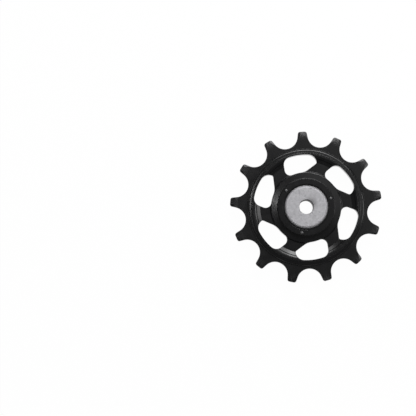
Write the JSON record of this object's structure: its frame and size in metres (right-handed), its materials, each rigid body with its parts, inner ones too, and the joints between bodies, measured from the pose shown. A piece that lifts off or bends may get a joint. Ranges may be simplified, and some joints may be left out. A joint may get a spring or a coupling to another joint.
{
  "type": "derailleur jockey wheel",
  "caption": "Toothed chain pulley for a bicycle rear derailleur: moulded wheel with slanted windows, sealed ball bearing and a steel cap on each side.",
  "frame": {"origin": "on the axle's centre line, in the middle plane of the teeth", "axes": "+Z along the axle towards the front face, +Y through the middle of one tooth"},
  "size_m": [0.0558, 0.0554, 0.0078],
  "materials": {
    "black_nylon": "satin moulded, black",
    "cap_steel": "fine matte, grey",
    "bearing_steel": "ground and polished",
    "cage_nylon": "natural moulded",
    "seal_rubber": "matte"
  },
  "bodies": {
    "clamped_core": {"inner_race": "bearing_steel", "front_cap": "cap_steel", "rear_cap": "cap_steel"},
    "wheel": {"toothed_wheel": "black_nylon", "outer_race": "bearing_steel", "front_seal": "seal_rubber", "rear_seal": "seal_rubber"},
    "cage": {"ball_cage": "cage_nylon"},
    "ball_1_body": {"ball_1": "bearing_steel"},
    "ball_2_body": {"ball_2": "bearing_steel"},
    "ball_3_body": {"ball_3": "bearing_steel"},
    "ball_4_body": {"ball_4": "bearing_steel"},
    "ball_5_body": {"ball_5": "bearing_steel"},
    "ball_6_body": {"ball_6": "bearing_steel"},
    "ball_7_body": {"ball_7": "bearing_steel"}
  },
  "joints": [
    {"name": "wheel_spin", "type": "hinge", "parent": "clamped_core", "child": "wheel", "pos_m": [0, 0, 0], "axis": [0, 0, 1], "continuous": true},
    {"name": "cage_orbit", "type": "hinge", "parent": "clamped_core", "child": "cage", "pos_m": [0, 0, 0], "axis": [0, 0, 1], "continuous": true},
    {"name": "ball_1_spin", "type": "hinge", "parent": "cage", "child": "ball_1_body", "pos_m": [0, 0.0048, 0], "axis": [0, 0, 1], "continuous": true},
    {"name": "ball_2_spin", "type": "hinge", "parent": "cage", "child": "ball_2_body", "pos_m": [-0.00375, 0.00299, 0], "axis": [0, 0, 1], "continuous": true},
    {"name": "ball_3_spin", "type": "hinge", "parent": "cage", "child": "ball_3_body", "pos_m": [-0.00468, -0.00107, 0], "axis": [0, 0, 1], "continuous": true},
    {"name": "ball_4_spin", "type": "hinge", "parent": "cage", "child": "ball_4_body", "pos_m": [-0.00208, -0.00432, 0], "axis": [0, 0, 1], "continuous": true},
    {"name": "ball_5_spin", "type": "hinge", "parent": "cage", "child": "ball_5_body", "pos_m": [0.00208, -0.00432, 0], "axis": [0, 0, 1], "continuous": true},
    {"name": "ball_6_spin", "type": "hinge", "parent": "cage", "child": "ball_6_body", "pos_m": [0.00468, -0.00107, 0], "axis": [0, 0, 1], "continuous": true},
    {"name": "ball_7_spin", "type": "hinge", "parent": "cage", "child": "ball_7_body", "pos_m": [0.00375, 0.00299, 0], "axis": [0, 0, 1], "continuous": true}
  ],
  "couplings": [
    {"joint": "cage_orbit", "follows": "wheel_spin", "ratio": 0.62396},
    {"joint": "ball_1_spin", "follows": "wheel_spin", "ratio": 1.8928},
    {"joint": "ball_2_spin", "follows": "wheel_spin", "ratio": 1.8928},
    {"joint": "ball_3_spin", "follows": "wheel_spin", "ratio": 1.8928},
    {"joint": "ball_4_spin", "follows": "wheel_spin", "ratio": 1.8928},
    {"joint": "ball_5_spin", "follows": "wheel_spin", "ratio": 1.8928},
    {"joint": "ball_6_spin", "follows": "wheel_spin", "ratio": 1.8928},
    {"joint": "ball_7_spin", "follows": "wheel_spin", "ratio": 1.8928}
  ]
}
